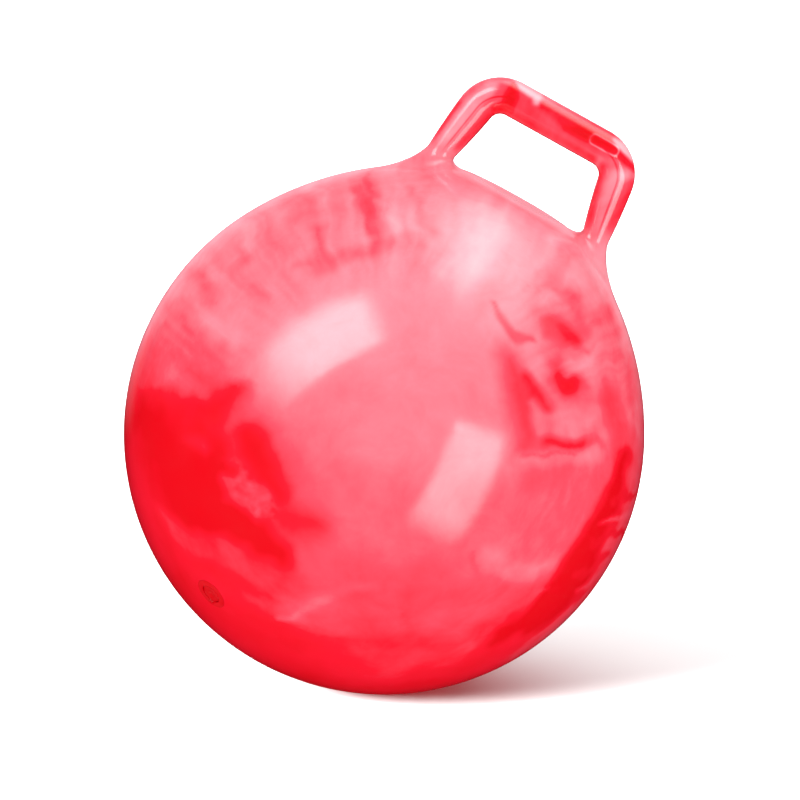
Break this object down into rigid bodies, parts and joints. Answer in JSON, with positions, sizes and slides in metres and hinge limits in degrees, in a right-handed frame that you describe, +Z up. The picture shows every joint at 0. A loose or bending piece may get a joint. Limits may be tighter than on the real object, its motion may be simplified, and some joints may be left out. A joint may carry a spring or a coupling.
{
  "type": "hopper ball",
  "caption": "Inflated bouncing ball to sit on, with a moulded loop handle and a valve with a pull-out plug.",
  "frame": {"origin": "on the floor, at the middle of the flat patch that the ball rests on, under the centre of the ball", "axes": "+Z up; the handle's axis leans 29 degrees from +Z towards +X, and the handle's loop lies in the XZ plane; -Y is the front"},
  "size_m": [0.4499, 0.45, 0.5319],
  "materials": {
    "marbled_pvc": "gloss",
    "seat_pvc": "satin",
    "plug_pvc": "satin"
  },
  "bodies": {
    "ball": {"ball_shell": "marbled_pvc", "handle_grip": "marbled_pvc", "handle_leg_left": "marbled_pvc", "handle_leg_right": "marbled_pvc", "valve_seat": "seat_pvc"},
    "plug": {"valve_plug": "plug_pvc"}
  },
  "joints": [
    {"name": "plug_pull", "type": "slide", "parent": "ball", "child": "plug", "axis": [-0.6439, -0.5622, -0.5189], "range_m": [0, 0.03]}
  ]
}
